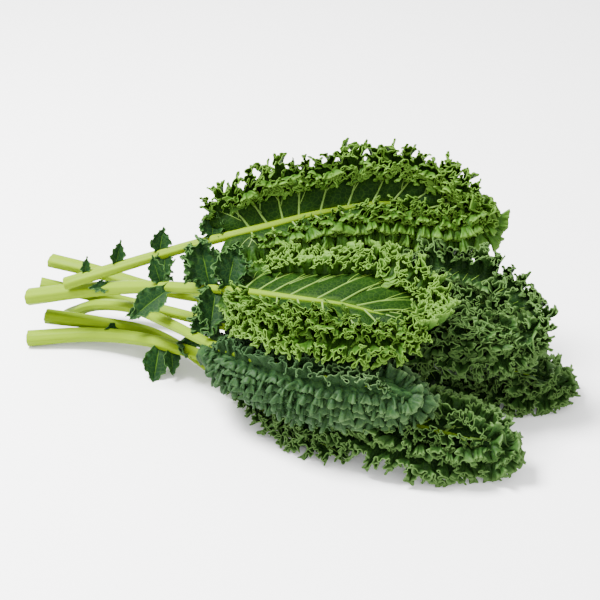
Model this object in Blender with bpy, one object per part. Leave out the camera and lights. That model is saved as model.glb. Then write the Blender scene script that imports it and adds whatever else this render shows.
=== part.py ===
"""A bunch of curly kale lying on a table, in metres, +Z up.

Seven leaves lie fanned over one another, with their cut stalks at -X and their blades at +X.
Each leaf is two pieces: its stalk, which runs on as the midrib and carries a few small leaflets,
and its blade, a thin sheet round the midrib whose outer part stands up in a waved frill.
The origin is under the middle of the bunch, on the table.
"""

import math
from dataclasses import dataclass

import bmesh
import bpy
import numpy as np

# How finely the stalks are cut into faces.
STALK_SIDES = 8
STALK_SECTIONS = 24

# The midrib, inside the blade, and the air between the two.
MIDRIB_RADIUS_AT_BASE = 0.0042
MIDRIB_RADIUS_AT_END = 0.0010
MIDRIB_CLEARANCE = 0.0011
MIDRIB_STOPS_AT = 0.985
SLOT_RUNS_ON = 0.003
MIDRIB_SHARE_OF_RUN = 0.88
STALK_FLATNESS = 0.86

# The blade: its thickness, the veins that press grooves in it, and its waved frill.
BLADE_THICKNESS = 0.0008
VEIN_SPACING = 0.0135
WAVE_SAMPLES = 4
GROOVE_DEPTH = 0.0012
PANEL_SHARE = 0.56
FRILL_LIFT = math.radians(60)
FRILL_ROWS = (0.35, 0.70, 1.0)
WAVE_STEEPNESS = 2.0
LONG_WAVE_HEIGHT = 0.0024
WAVE_IRREGULARITY = 0.22

# The directions in which the side veins leave the midrib, as angles from its own direction.
BASE_VEIN_ANGLE = math.radians(118)
SIDE_VEIN_ANGLE = math.radians(60)

# Where the middle of the bunch's base lies among the points below, which then becomes the origin.
BUNCH_MIDDLE = (-0.0277, 0.048, 0.0)

LEAFLET_THICKNESS = 0.0011


@dataclass
class Leaflet:
    """A small leaf on a stalk: where its root is, as a share of the leaf's length, and how it points."""

    share: float
    axis: tuple
    face: tuple
    length: float
    width: float


@dataclass
class Leaf:
    """One leaf. Its route runs from the cut end of the stalk to the end of the midrib.

    Front is the side towards -Y. The base is the blade's reach where it
    begins, as a share of its widest reach, and it widens up to these shares of the way to the tip,
    in front and behind. Tilts and curls are degrees, positive towards the leaf's face:
    the tilt is the slope at which a half of the blade leaves the midrib, and the curl is how far
    it has turned by its rim.
    """

    name: str
    route: tuple
    faces: tuple
    blade_from: float
    base: float
    widens: tuple
    reach_front: float
    reach_back: float
    reach_tip: float
    tilt_front: float
    tilt_back: float
    curl_front: float
    curl_back: float
    cut_radius: float
    lift: float
    seed: int
    leaflets: tuple = ()


LEAVES = (
    Leaf(
        name="back_leaf",
        route=(
            (-0.229, 0.021, 0.062),
            (-0.16, 0.05, 0.087),
            (-0.112, 0.063, 0.106),
            (-0.065, 0.082, 0.12),
            (-0.02, 0.107, 0.131),
            (0.03, 0.134, 0.136),
            (0.078, 0.147, 0.129),
        ),
        faces=((0.1, -0.4, 0.9), (0.1, -0.5, 0.87), (0.2, -0.5, 0.85)),
        blade_from=0.44,
        base=0.3,
        widens=(0.75, 0.35),
        reach_front=0.044,
        reach_back=0.056,
        reach_tip=0.046,
        tilt_front=12,
        tilt_back=20,
        curl_front=-14,
        curl_back=-10,
        cut_radius=0.0058,
        lift=0.85,
        seed=11,
        leaflets=(
            Leaflet(0.10, (0.05, 0.20, 0.98), (0.3, -0.9, 0.2), 0.013, 0.006),
            Leaflet(0.24, (0.10, 0.30, 0.95), (0.3, -0.9, 0.3), 0.019, 0.010),
            Leaflet(0.27, (0.90, 0.35, 0.30), (0.2, -0.7, 0.7), 0.015, 0.007),
            Leaflet(0.37, (-0.15, 0.30, 0.95), (0.3, -0.9, 0.3), 0.020, 0.015),
        ),
    ),
    Leaf(
        name="crown_leaf",
        route=(
            (-0.268, 0.022, 0.04),
            (-0.22, 0.031, 0.052),
            (-0.17, 0.031, 0.066),
            (-0.119, 0.024, 0.08),
            (-0.063, 0.012, 0.095),
            (0.0, -0.001, 0.108),
            (0.04, -0.003, 0.112),
            (0.073, -0.003, 0.11),
        ),
        faces=((0.1, -0.15, 0.98), (0.1, -0.28, 0.95), (0.15, -0.28, 0.95)),
        blade_from=0.58,
        base=0.42,
        widens=(0.4, 0.45),
        reach_front=0.06,
        reach_back=0.072,
        reach_tip=0.05,
        tilt_front=-3,
        tilt_back=-5,
        curl_front=-16,
        curl_back=-14,
        cut_radius=0.0082,
        lift=0.9,
        seed=22,
        leaflets=(
            Leaflet(0.22, (0.20, -0.60, 0.70), (-0.3, -0.6, 0.7), 0.015, 0.010),
            Leaflet(0.37, (-0.40, 0.10, 0.90), (0.3, -0.9, 0.3), 0.020, 0.012),
            Leaflet(0.38, (-0.55, -0.75, -0.35), (0.2, -0.5, 0.85), 0.036, 0.020),
            Leaflet(0.50, (-0.35, 0.35, 0.80), (0.3, -0.8, 0.5), 0.038, 0.024),
            Leaflet(0.51, (0.0, -0.90, -0.40), (0.4, -0.5, 0.75), 0.034, 0.022),
        ),
    ),
    Leaf(
        name="puckered_leaf",
        route=(
            (-0.253, 0.06, 0.0048),
            (-0.22, 0.0535, 0.025),
            (-0.18, 0.041, 0.039),
            (-0.126, 0.013, 0.05),
            (-0.066, -0.021, 0.06),
            (-0.018, -0.041, 0.068),
            (0.03, -0.051, 0.073),
            (0.09, -0.047, 0.072),
        ),
        faces=((0.05, -0.1, 0.98), (0.1, -0.35, 0.92), (0.15, -0.45, 0.88)),
        blade_from=0.54,
        base=0.4,
        widens=(0.4, 0.4),
        reach_front=0.043,
        reach_back=0.040,
        reach_tip=0.045,
        tilt_front=-22,
        tilt_back=-6,
        curl_front=-55,
        curl_back=-30,
        cut_radius=0.0062,
        lift=0.3,
        seed=33,
        leaflets=(
            Leaflet(0.37, (-0.50, -0.60, -0.20), (0.2, -0.6, 0.8), 0.015, 0.010),
        ),
    ),
    Leaf(
        name="right_leaf",
        route=(
            (-0.265, 0.060, 0.058),
            (-0.226, 0.061, 0.056),
            (-0.164, 0.056, 0.054),
            (-0.067, 0.052, 0.060),
            (0.026, 0.047, 0.070),
            (0.090, 0.052, 0.078),
            (0.140, 0.062, 0.074),
        ),
        faces=((0.05, -0.1, 0.98), (0.15, -0.3, 0.93), (0.25, -0.35, 0.9)),
        blade_from=0.58,
        base=0.45,
        widens=(0.4, 0.4),
        reach_front=0.052,
        reach_back=0.076,
        reach_tip=0.048,
        tilt_front=-4,
        tilt_back=8,
        curl_front=-12,
        curl_back=-10,
        cut_radius=0.0070,
        lift=0.7,
        seed=44,
    ),
    Leaf(
        name="outer_leaf",
        route=(
            (-0.27, 0.047, 0.04),
            (-0.213, 0.072, 0.023),
            (-0.165, 0.079, 0.018),
            (-0.1, 0.073, 0.02),
            (-0.025, 0.07, 0.024),
            (0.06, 0.078, 0.026),
            (0.12, 0.088, 0.025),
            (0.172, 0.092, 0.021),
        ),
        faces=((0.05, -0.05, 1.0), (0.1, -0.05, 1.0), (0.3, -0.1, 0.95)),
        blade_from=0.62,
        base=0.45,
        widens=(0.4, 0.4),
        reach_front=0.046,
        reach_back=0.052,
        reach_tip=0.042,
        tilt_front=-10,
        tilt_back=-8,
        curl_front=-22,
        curl_back=-20,
        cut_radius=0.0066,
        lift=0.6,
        seed=55,
    ),
    Leaf(
        name="floor_leaf",
        route=(
            (-0.263, 0.008, 0.0066),
            (-0.211, 0.026, 0.012),
            (-0.151, 0.025, 0.02),
            (-0.107, 0.014, 0.025),
            (-0.034, -0.006, 0.029),
            (0.042, -0.021, 0.03),
            (0.11, -0.032, 0.034),
            (0.158, -0.027, 0.029),
        ),
        faces=((0.05, -0.1, 0.98), (0.1, 0.0, 1.0), (0.25, -0.4, 0.88)),
        blade_from=0.60,
        base=0.45,
        widens=(0.5, 0.4),
        reach_front=0.046,
        reach_back=0.04,
        reach_tip=0.038,
        tilt_front=-13,
        tilt_back=0,
        curl_front=-20,
        curl_back=-10,
        cut_radius=0.0078,
        lift=0.5,
        seed=66,
        leaflets=(
            Leaflet(0.27, (0.30, -0.76, -0.45), (0.3, -0.5, 0.8), 0.028, 0.018),
            Leaflet(0.31, (0.40, -0.75, -0.45), (0.3, -0.5, 0.8), 0.021, 0.012),
        ),
    ),
    Leaf(
        name="under_leaf",
        route=(
            (-0.256, 0.03, 0.019),
            (-0.207, 0.04, 0.017),
            (-0.16, 0.042, 0.017),
            (-0.12, 0.03, 0.015),
            (-0.085, 0.012, 0.012),
            (-0.04, -0.012, 0.01),
            (0.0, -0.033, 0.009),
            (0.04, -0.048, 0.008),
        ),
        faces=((0.05, -0.1, 0.98), (0.1, 0.0, 1.0), (0.2, -0.1, 1.0)),
        blade_from=0.56,
        base=0.5,
        widens=(0.4, 0.4),
        reach_front=0.034,
        reach_back=0.026,
        reach_tip=0.034,
        tilt_front=-4,
        tilt_back=5,
        curl_front=-4,
        curl_back=-4,
        cut_radius=0.0074,
        lift=0.35,
        seed=77,
    ),
)


def remove_all_objects():
    for obj in list(bpy.data.objects):
        bpy.data.objects.remove(obj)


def make_material(name, colour, roughness):
    material = bpy.data.materials.new(name)
    material.use_nodes = True
    shader = material.node_tree.nodes["Principled BSDF"]
    shader.inputs["Base Color"].default_value = (*colour, 1.0)
    shader.inputs["Roughness"].default_value = roughness
    shader.inputs["Metallic"].default_value = 0.0
    return material


def unit(vectors):
    return vectors / np.linalg.norm(vectors, axis=-1, keepdims=True)


def smooth_step(value, start, end):
    share = np.clip((np.asarray(value, float) - start) / (end - start), 0.0, 1.0)
    return share * share * (3.0 - 2.0 * share)


def along_points(points, shares):
    """Places at these shares of the length of a smooth curve through the points."""
    points = np.asarray(points, float)
    steps = np.linalg.norm(np.diff(points, axis=0), axis=1)
    knots = np.concatenate([[0.0], np.cumsum(steps)])
    slopes = np.gradient(points, knots, axis=0)
    fine = np.linspace(0.0, knots[-1], 600)
    i = np.clip(np.searchsorted(knots, fine, side="right") - 1, 0, len(points) - 2)
    span = (knots[i + 1] - knots[i])[:, None]
    s = (fine - knots[i])[:, None] / span
    curve = (
        (2 * s**3 - 3 * s**2 + 1) * points[i]
        + (s**3 - 2 * s**2 + s) * span * slopes[i]
        + (3 * s**2 - 2 * s**3) * points[i + 1]
        + (s**3 - s**2) * span * slopes[i + 1]
    )
    run = np.concatenate([[0.0], np.cumsum(np.linalg.norm(np.diff(curve, axis=0), axis=1))])
    wanted = np.asarray(shares, float) * run[-1]
    return np.stack([np.interp(wanted, run, curve[:, axis]) for axis in range(3)], axis=-1)


def leaf_frames(leaf, shares):
    """The centreline at these shares, with its direction, its front side and its face direction."""
    shares = np.asarray(shares, float)
    step = 0.002
    centre = along_points(leaf.route, shares)
    ahead = along_points(leaf.route, np.clip(shares + step, 0, 1))
    behind = along_points(leaf.route, np.clip(shares - step, 0, 1))
    along = unit(ahead - behind)
    start, middle, end = (np.array(face, float) for face in leaf.faces)
    face = start + (middle - start) * smooth_step(shares, 0.0, leaf.blade_from)[:, None]
    face = face + (end - middle) * smooth_step(shares, leaf.blade_from, 1.0)[:, None]
    face = unit(face - (face * along).sum(-1, keepdims=True) * along)
    return centre, along, np.cross(along, face), face


def stalk_radius(leaf, shares):
    """The stalk narrows from its cut end to the blade, and the midrib from there to its end."""
    at = (0.0, 0.55 * leaf.blade_from, leaf.blade_from, 0.5 + 0.5 * leaf.blade_from, 1.0)
    middle = 0.5 * (leaf.cut_radius + MIDRIB_RADIUS_AT_BASE)
    thin = 0.55 * MIDRIB_RADIUS_AT_BASE + 0.45 * MIDRIB_RADIUS_AT_END
    radii = (leaf.cut_radius, middle, MIDRIB_RADIUS_AT_BASE, thin, MIDRIB_RADIUS_AT_END)
    return np.interp(shares, at, radii)


def blade_columns(leaf, place):
    """Everything about the blade that depends on the place round its rim: 0 front base, 1 back base."""
    place = np.asarray(place, float)
    front = place <= 0.5
    run = np.where(front, 2 * place, 2 - 2 * place)
    side = np.where(front, 1.0, -1.0)
    left = np.clip(1 - run / MIDRIB_SHARE_OF_RUN, 0, 1)
    share = leaf.blade_from + (1 - leaf.blade_from) * (1 - left**1.3)
    angle = SIDE_VEIN_ANGLE * (1 - smooth_step(run, 0.5, 1.0) ** 0.8)
    angle += (BASE_VEIN_ANGLE - SIDE_VEIN_ANGLE) * (1 - smooth_step(run, 0.0, 0.28))
    frontness = smooth_step(side * angle, -0.9, 0.9)
    widest = leaf.reach_back + (leaf.reach_front - leaf.reach_back) * frontness
    wide_from = np.where(front, leaf.widens[0], leaf.widens[1])
    reach = widest * (leaf.base + (1 - leaf.base) * smooth_step(run / wide_from, -0.2, 1.0))
    reach += (leaf.reach_tip - reach) * smooth_step(run, 0.6, 1.0)
    tilt = np.radians(leaf.tilt_back + (leaf.tilt_front - leaf.tilt_back) * frontness)
    curl = np.radians(leaf.curl_back + (leaf.curl_front - leaf.curl_back) * frontness)
    turn_in = smooth_step(run, 0.82, 1.0) * math.pi / 2
    return share, side, angle, reach, tilt, curl, turn_in


def panel_points(leaf, place, out):
    """Points of the blade without its frill, at places round the rim and shares of the way out."""
    share, side, angle, reach, tilt, curl, turn_in = blade_columns(leaf, place)
    centre, along, front, face = leaf_frames(leaf, share)
    outward = np.cos(angle)[:, None] * along + (np.sin(angle) * side)[:, None] * front
    slot = stalk_radius(leaf, share) + MIDRIB_CLEARANCE
    inner = centre + (side * slot * np.cos(turn_in))[:, None] * front
    inner = inner + ((slot + SLOT_RUNS_ON) * np.sin(turn_in))[:, None] * along
    curl = np.where(np.abs(curl) < 1e-3, 1e-3, curl)
    turned = tilt + curl * out
    flat = reach / curl * (np.sin(turned) - np.sin(tilt))
    rise = reach / curl * (np.cos(tilt) - np.cos(turned))
    return inner + outward * flat[:, None] + face * rise[:, None]


def even_places(leaf):
    """Places round the rim at an even spacing on each half of the leaf, the middle one at the tip."""
    fine = np.linspace(0.0, 1.0, 801)
    rim = panel_points(leaf, fine, PANEL_SHARE)
    run = np.concatenate([[0.0], np.cumsum(np.linalg.norm(np.diff(rim, axis=0), axis=1))])
    count = WAVE_SAMPLES * round(run[-1] / VEIN_SPACING / 2)
    to_tip = np.linspace(0.0, run[400], count + 1)
    from_tip = np.linspace(run[400], run[-1], count + 1)
    return np.interp(np.concatenate([to_tip, from_tip[1:]]), run, fine)


def frill_row(leaf, places, share_out):
    """A row of the frill: it leaves the panel's rim, stands up towards the face, and waves."""
    nudge = 0.004
    rim = panel_points(leaf, places, PANEL_SHARE)
    outward = unit(rim - panel_points(leaf, places, PANEL_SHARE - 0.1))
    ahead = panel_points(leaf, np.clip(places + nudge, 0, 1), PANEL_SHARE)
    behind = panel_points(leaf, np.clip(places - nudge, 0, 1), PANEL_SHARE)
    face = unit(np.cross(outward, unit(ahead - behind)))
    reach = blade_columns(leaf, places)[3] * (1 - PANEL_SHARE)
    lift = FRILL_LIFT * leaf.lift
    flat = reach * math.sin(lift * share_out) / lift
    rise = reach * (1 - math.cos(lift * share_out)) / lift
    turned = lift * share_out
    across = math.cos(turned) * face - math.sin(turned) * outward
    row = rim + outward * flat[:, None] + face * rise[:, None]
    spacing = np.linalg.norm(np.gradient(row, axis=0), axis=1)
    random = np.random.default_rng(leaf.seed)
    swing = 1 + WAVE_IRREGULARITY * random.uniform(-1, 1, len(places) // 2 + 1)
    swing = np.repeat(swing, 2)[: len(places)]
    phase = (np.arange(len(places)) + 0.5) * math.pi / 2
    wave = WAVE_STEEPNESS * spacing * swing * np.sin(phase) + LONG_WAVE_HEIGHT * np.sin(phase / 3)
    return row + across * (wave * share_out)[:, None]


def blade_sheet(leaf):
    """The middle surface of the blade: its points and triangles, facing the leaf's face side."""
    fine = even_places(leaf)
    coarse = fine[::WAVE_SAMPLES]
    rows = []
    for out in (0.0, 0.55 * PANEL_SHARE, PANEL_SHARE):
        points = panel_points(leaf, coarse, out)
        face = leaf_frames(leaf, blade_columns(leaf, coarse)[0])[3]
        groove = GROOVE_DEPTH * math.sin(math.pi * out / PANEL_SHARE)
        groove = np.where(np.arange(len(coarse)) % 2 == 0, groove, -groove)
        rows.append(points + face * groove[:, None])
    for share_out in FRILL_ROWS:
        rows.append(frill_row(leaf, fine, share_out))
    starts = np.cumsum([0] + [len(row) for row in rows])
    triangles = []
    for row, (near, far) in enumerate(zip(rows[:-1], rows[1:])):
        a, b = starts[row], starts[row + 1]
        ratio = (len(far) - 1) // (len(near) - 1)
        for i in range(len(near) - 1):
            for j in range(ratio):
                shared = i if j < (ratio + 1) // 2 else i + 1
                triangles.append((a + shared, b + i * ratio + j + 1, b + i * ratio + j)[::-1])
            turn = b + i * ratio + (ratio + 1) // 2
            triangles.append((a + i, a + i + 1, turn)[::-1])
    points = np.concatenate(rows)
    points[:, 2] = np.maximum(points[:, 2], BLADE_THICKNESS / 2)
    return points, np.array(triangles)


def sheet_normals(points, triangles):
    """The normal at each point: its triangles' normals, weighted by their angles at the point."""
    corners = points[triangles]
    flat = unit(np.cross(corners[:, 1] - corners[:, 0], corners[:, 2] - corners[:, 0]))
    normals = np.zeros_like(points)
    for corner in range(3):
        one = unit(corners[:, (corner + 1) % 3] - corners[:, corner])
        other = unit(corners[:, (corner + 2) % 3] - corners[:, corner])
        angle = np.arccos(np.clip((one * other).sum(-1), -1, 1))
        np.add.at(normals, triangles[:, corner], flat * angle[:, None])
    return unit(normals)


def thickened(points, triangles, thickness):
    """A closed thin solid: the sheet's two faces, split alike, and a wall along its edge."""
    normals = sheet_normals(points, triangles)
    top = points + normals * thickness / 2
    bottom = points - normals * thickness / 2
    count = len(points)
    edges = {}
    for a, b, c in triangles:
        for start, end in ((a, b), (b, c), (c, a)):
            edges[(int(start), int(end))] = True
    walls = []
    for start, end in edges:
        if (end, start) not in edges:
            walls.append((end, start, start + count))
            walls.append((end, start + count, end + count))
    faces = [tuple(map(int, t)) for t in triangles]
    faces += [tuple(int(v) + count for v in t[::-1]) for t in triangles]
    return np.concatenate([top, bottom]), faces + walls


def mesh_object(name, points, faces, material):
    mesh = bpy.data.meshes.new(name)
    mesh.from_pydata([tuple(p) for p in points - np.array(BUNCH_MIDDLE)], [], faces)
    mesh.materials.append(material)
    obj = bpy.data.objects.new(name, mesh)
    bpy.context.scene.collection.objects.link(obj)
    return obj


def make_blade(leaf, material):
    points, triangles = blade_sheet(leaf)
    return mesh_object(leaf.name + "_blade", *thickened(points, triangles, BLADE_THICKNESS), material)


def make_stalk_body(leaf, material):
    """The stalk and midrib: rings of points along the leaf, joined into one tapering rod."""
    shares = np.concatenate(
        [
            np.linspace(0.0, leaf.blade_from, STALK_SECTIONS // 2, endpoint=False),
            np.linspace(leaf.blade_from, MIDRIB_STOPS_AT, STALK_SECTIONS - STALK_SECTIONS // 2),
        ]
    )
    centre, _, front, face = leaf_frames(leaf, shares)
    radius = stalk_radius(leaf, shares)
    turn = np.arange(STALK_SIDES) * 2 * math.pi / STALK_SIDES + math.pi / STALK_SIDES
    wide = radius[:, None] * np.cos(turn)
    high = STALK_FLATNESS * radius[:, None] * np.sin(turn)
    rings = centre[:, None] + wide[..., None] * front[:, None] + high[..., None] * face[:, None]
    faces = [tuple(range(STALK_SIDES))[::-1]]
    for ring in range(len(shares) - 1):
        for side in range(STALK_SIDES):
            a = ring * STALK_SIDES + side
            b = ring * STALK_SIDES + (side + 1) % STALK_SIDES
            faces.append((a, b, b + STALK_SIDES, a + STALK_SIDES))
    last = (len(shares) - 1) * STALK_SIDES
    faces.append(tuple(range(last, last + STALK_SIDES)))
    obj = mesh_object(leaf.name + "_stalk", rings.reshape(-1, 3), faces, material)
    rounded = bmesh.new()
    rounded.from_mesh(obj.data)
    bmesh.ops.recalc_face_normals(rounded, faces=rounded.faces)
    rounded.to_mesh(obj.data)
    rounded.free()
    return obj


def leaflet_sheet(leaf, leaflet):
    """A pointed oval folded a little along its own midrib, with its root in the stalk's middle."""
    root = along_points(leaf.route, [leaflet.share])[0]
    radius = float(stalk_radius(leaf, [leaflet.share])[0])
    axis = unit(np.array(leaflet.axis, float))
    face = np.array(leaflet.face, float)
    face = unit(face - (face @ axis) * axis)
    across = np.cross(face, axis)
    length = leaflet.length + radius
    outline = ((0.0, 0.12), (0.28, 0.22), (0.50, 0.50), (0.75, 0.36))
    points = []
    for at, wide in outline:
        spine = root + axis * at * length - face * 0.12 * leaflet.length * at**2
        points.append(spine)
        for side in (-1, 1):
            points.append(spine + across * side * wide * leaflet.width + face * 0.16 * wide * leaflet.width)
    points.append(root + axis * length - face * 0.12 * leaflet.length)
    triangles = []
    for row in range(len(outline) - 1):
        spine, left, right = 3 * row, 3 * row + 1, 3 * row + 2
        triangles += [(spine, left, left + 3), (spine, left + 3, spine + 3)]
        triangles += [(spine, right + 3, right), (spine, spine + 3, right + 3)]
    tip = 3 * len(outline)
    triangles += [(tip - 3, tip - 2, tip), (tip - 3, tip, tip - 1)]
    return np.array(points), np.array(triangles)


def make_stalk(leaf, material):
    """The stalk with its leaflets grown on to it, joined into one body."""
    obj = make_stalk_body(leaf, material)
    if not leaf.leaflets:
        return obj
    grown = bpy.data.collections.new(leaf.name + "_leaflets")
    bpy.context.scene.collection.children.link(grown)
    for number, leaflet in enumerate(leaf.leaflets):
        points, triangles = leaflet_sheet(leaf, leaflet)
        solid = thickened(points, triangles, LEAFLET_THICKNESS)
        piece = mesh_object(f"{leaf.name}_leaflet_{number}", *solid, material)
        bpy.context.scene.collection.objects.unlink(piece)
        grown.objects.link(piece)
    join = obj.modifiers.new("leaflets", "BOOLEAN")
    join.operation = "UNION"
    join.operand_type = "COLLECTION"
    join.collection = grown
    join.solver = "EXACT"
    bpy.context.view_layer.update()
    joined = bpy.data.meshes.new_from_object(obj.evaluated_get(bpy.context.evaluated_depsgraph_get()))
    obj.modifiers.clear()
    obj.data = joined
    for piece in list(grown.objects):
        bpy.data.objects.remove(piece)
    bpy.data.collections.remove(grown)
    return obj


def main():
    remove_all_objects()
    stalk_material = make_material("pale_stalk", (0.42, 0.58, 0.12), 0.45)
    blade_material = make_material("green_blade", (0.06, 0.22, 0.03), 0.55)
    puckered_material = make_material("blue_green_blade", (0.05, 0.17, 0.06), 0.6)
    for leaf in LEAVES:
        make_stalk(leaf, stalk_material)
        puckered = leaf.name == "puckered_leaf"
        make_blade(leaf, puckered_material if puckered else blade_material)


main()
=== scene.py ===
import math

import bpy
import numpy as np
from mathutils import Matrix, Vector


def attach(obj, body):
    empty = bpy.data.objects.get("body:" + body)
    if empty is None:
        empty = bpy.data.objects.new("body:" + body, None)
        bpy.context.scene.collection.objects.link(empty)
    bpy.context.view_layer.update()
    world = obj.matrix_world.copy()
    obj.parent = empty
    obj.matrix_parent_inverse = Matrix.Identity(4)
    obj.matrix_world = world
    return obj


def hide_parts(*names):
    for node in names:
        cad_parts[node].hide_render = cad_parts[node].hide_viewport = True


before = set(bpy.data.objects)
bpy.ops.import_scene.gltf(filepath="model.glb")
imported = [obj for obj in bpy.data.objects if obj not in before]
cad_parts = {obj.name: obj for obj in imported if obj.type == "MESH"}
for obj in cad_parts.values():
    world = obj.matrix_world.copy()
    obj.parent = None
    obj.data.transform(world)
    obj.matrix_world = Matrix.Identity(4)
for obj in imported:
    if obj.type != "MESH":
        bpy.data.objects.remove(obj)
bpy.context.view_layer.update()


# The stalks. Each leaf of kale grows on a pale fleshy stalk, cut square at the foot, which runs on
# as the midrib and thins towards the leaf's tip. Faint ribs run along it, and the seven stalks
# cross loosely where a hand would hold the bunch.
STALKS = {
    "back_leaf": dict(
        route=((-0.229, 0.021, 0.062), (-0.160, 0.050, 0.087), (-0.112, 0.063, 0.106), (-0.065, 0.082, 0.120),
               (-0.020, 0.107, 0.131), (0.030, 0.134, 0.136), (0.078, 0.147, 0.129)),
        faces=((0.10, -0.40, 0.90), (0.10, -0.50, 0.87), (0.20, -0.50, 0.85)), blade_from=0.44, cut_radius=0.0058),
    "crown_leaf": dict(
        route=((-0.268, 0.022, 0.040), (-0.220, 0.031, 0.052), (-0.170, 0.031, 0.066), (-0.119, 0.024, 0.080),
               (-0.063, 0.012, 0.095), (0.000, -0.001, 0.108), (0.040, -0.003, 0.112), (0.073, -0.003, 0.110)),
        faces=((0.10, -0.15, 0.98), (0.10, -0.28, 0.95), (0.15, -0.28, 0.95)), blade_from=0.58, cut_radius=0.0082),
    "puckered_leaf": dict(
        route=((-0.253, 0.060, 0.0048), (-0.220, 0.0535, 0.025), (-0.180, 0.041, 0.039), (-0.126, 0.013, 0.050),
               (-0.066, -0.021, 0.060), (-0.018, -0.041, 0.068), (0.030, -0.051, 0.073), (0.090, -0.047, 0.072)),
        faces=((0.05, -0.10, 0.98), (0.10, -0.35, 0.92), (0.15, -0.45, 0.88)), blade_from=0.54, cut_radius=0.0062),
    "right_leaf": dict(
        route=((-0.265, 0.060, 0.058), (-0.226, 0.061, 0.056), (-0.164, 0.056, 0.054), (-0.067, 0.052, 0.060),
               (0.026, 0.047, 0.070), (0.090, 0.052, 0.078), (0.140, 0.062, 0.074)),
        faces=((0.05, -0.10, 0.98), (0.15, -0.30, 0.93), (0.25, -0.35, 0.90)), blade_from=0.58, cut_radius=0.0070),
    "outer_leaf": dict(
        route=((-0.270, 0.047, 0.040), (-0.213, 0.072, 0.023), (-0.165, 0.079, 0.018), (-0.100, 0.073, 0.020),
               (-0.025, 0.070, 0.024), (0.060, 0.078, 0.026), (0.120, 0.088, 0.025), (0.172, 0.092, 0.021)),
        faces=((0.05, -0.05, 1.0), (0.10, -0.05, 1.0), (0.30, -0.10, 0.95)), blade_from=0.62, cut_radius=0.0066),
    "floor_leaf": dict(
        route=((-0.263, 0.008, 0.0066), (-0.211, 0.026, 0.012), (-0.151, 0.025, 0.020), (-0.107, 0.014, 0.025),
               (-0.034, -0.006, 0.029), (0.042, -0.021, 0.030), (0.110, -0.032, 0.034), (0.158, -0.027, 0.029)),
        faces=((0.05, -0.10, 0.98), (0.10, 0.0, 1.0), (0.25, -0.40, 0.88)), blade_from=0.60, cut_radius=0.0078),
    "under_leaf": dict(
        route=((-0.256, 0.030, 0.019), (-0.207, 0.040, 0.017), (-0.160, 0.042, 0.017), (-0.120, 0.030, 0.015),
               (-0.085, 0.012, 0.012), (-0.040, -0.012, 0.010), (0.000, -0.033, 0.009), (0.040, -0.048, 0.008)),
        faces=((0.05, -0.10, 0.98), (0.10, 0.0, 1.0), (0.20, -0.10, 1.0)), blade_from=0.56, cut_radius=0.0074),
}
BUNCH_MIDDLE = np.array((-0.0277, 0.048, 0.0))
MIDRIB_RADIUS_AT_BASE = 0.0042
MIDRIB_RADIUS_AT_END = 0.0010
STALK_FLATNESS = 0.86
STALK_SIDES = 30
STALK_RINGS = 72
END_SCALES = (0.40, 0.75, 0.95)
END_SHIFT = 0.0005
RIB_COUNT = 7
RIB_DEPTH = 0.055
GROOVE_DEPTH = 0.16
STALK_FLOOR = 0.0002
CURVE_SAMPLES = 600
DIRECTION_SHARE = 0.002
SURFACE_RADIUS = 0.008


def unit(vectors):
    return vectors / np.maximum(np.linalg.norm(vectors, axis=-1, keepdims=True), 1e-12)


def smooth_step(value, start, end):
    share = np.clip((np.asarray(value, float) - start) / (end - start), 0.0, 1.0)
    return share * share * (3.0 - 2.0 * share)


def steps_along(points):
    """How far along a line each of its points lies."""
    return np.concatenate([[0.0], np.cumsum(np.linalg.norm(np.diff(points, axis=0), axis=1))])


def along_points(points, shares):
    """Points at shares of the length of a smooth curve through the given points."""
    points = np.asarray(points, float)
    knots = steps_along(points)
    slopes = np.gradient(points, knots, axis=0)
    fine = np.linspace(0.0, knots[-1], CURVE_SAMPLES)
    i = np.clip(np.searchsorted(knots, fine, side="right") - 1, 0, len(points) - 2)
    span = (knots[i + 1] - knots[i])[:, None]
    s = (fine - knots[i])[:, None] / span
    curve = ((2 * s**3 - 3 * s**2 + 1) * points[i] + (s**3 - 2 * s**2 + s) * span * slopes[i]
             + (3 * s**2 - 2 * s**3) * points[i + 1] + (s**3 - s**2) * span * slopes[i + 1])
    run = steps_along(curve)
    wanted = np.asarray(shares, float) * run[-1]
    return np.stack([np.interp(wanted, run, curve[:, axis]) for axis in range(3)], axis=-1)


def stalk_frames(stalk, shares):
    """Middles of a stalk, with the ways along it, across to its front and out of its face."""
    shares = np.asarray(shares, float)
    centre = along_points(stalk["route"], shares)
    ahead = along_points(stalk["route"], np.clip(shares + DIRECTION_SHARE, 0, 1))
    behind = along_points(stalk["route"], np.clip(shares - DIRECTION_SHARE, 0, 1))
    along = unit(ahead - behind)
    start, middle, end = (np.array(face, float) for face in stalk["faces"])
    face = start + (middle - start) * smooth_step(shares, 0.0, stalk["blade_from"])[:, None]
    face = face + (end - middle) * smooth_step(shares, stalk["blade_from"], 1.0)[:, None]
    face = unit(face - (face * along).sum(-1, keepdims=True) * along)
    return centre, along, np.cross(along, face), face


def stalk_radius(stalk, shares):
    begins = stalk["blade_from"]
    at = (0.0, 0.55 * begins, begins, 0.5 + 0.5 * begins, 1.0)
    middle = 0.5 * (stalk["cut_radius"] + MIDRIB_RADIUS_AT_BASE)
    thin = 0.55 * MIDRIB_RADIUS_AT_BASE + 0.45 * MIDRIB_RADIUS_AT_END
    return np.interp(shares, at, (stalk["cut_radius"], middle, MIDRIB_RADIUS_AT_BASE, thin, MIDRIB_RADIUS_AT_END))


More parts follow.
